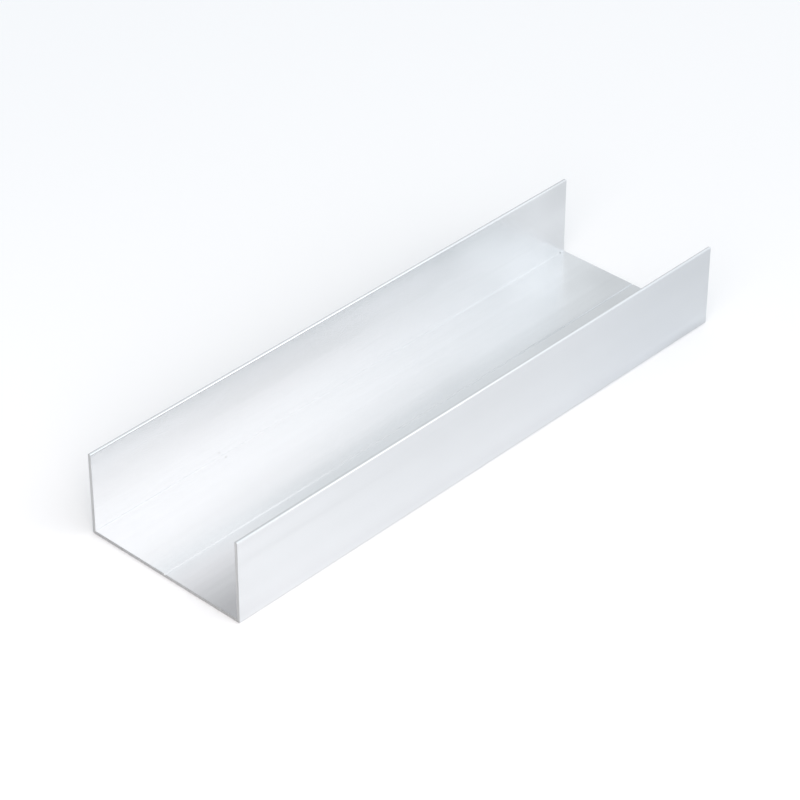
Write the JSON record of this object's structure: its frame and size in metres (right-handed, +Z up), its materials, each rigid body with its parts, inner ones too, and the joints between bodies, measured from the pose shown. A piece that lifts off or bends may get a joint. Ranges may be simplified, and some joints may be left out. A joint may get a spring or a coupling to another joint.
{
  "type": "aluminium u-channel",
  "caption": "Thin-wall U-channel of satin aluminium with a drilling line down its web, sawn square at both ends; holds a panel edge or edges a board.",
  "frame": {"origin": "under the middle of the web, on the surface that the channel lies on", "axes": "+X along the length, +Y across the web, +Z up, from the web to the flange lips"},
  "size_m": [0.183, 0.0536, 0.025],
  "materials": {
    "satin_aluminium": "satin, natural silver anodised"
  },
  "bodies": {
    "root": {"channel": "satin_aluminium"}
  },
  "joints": []
}
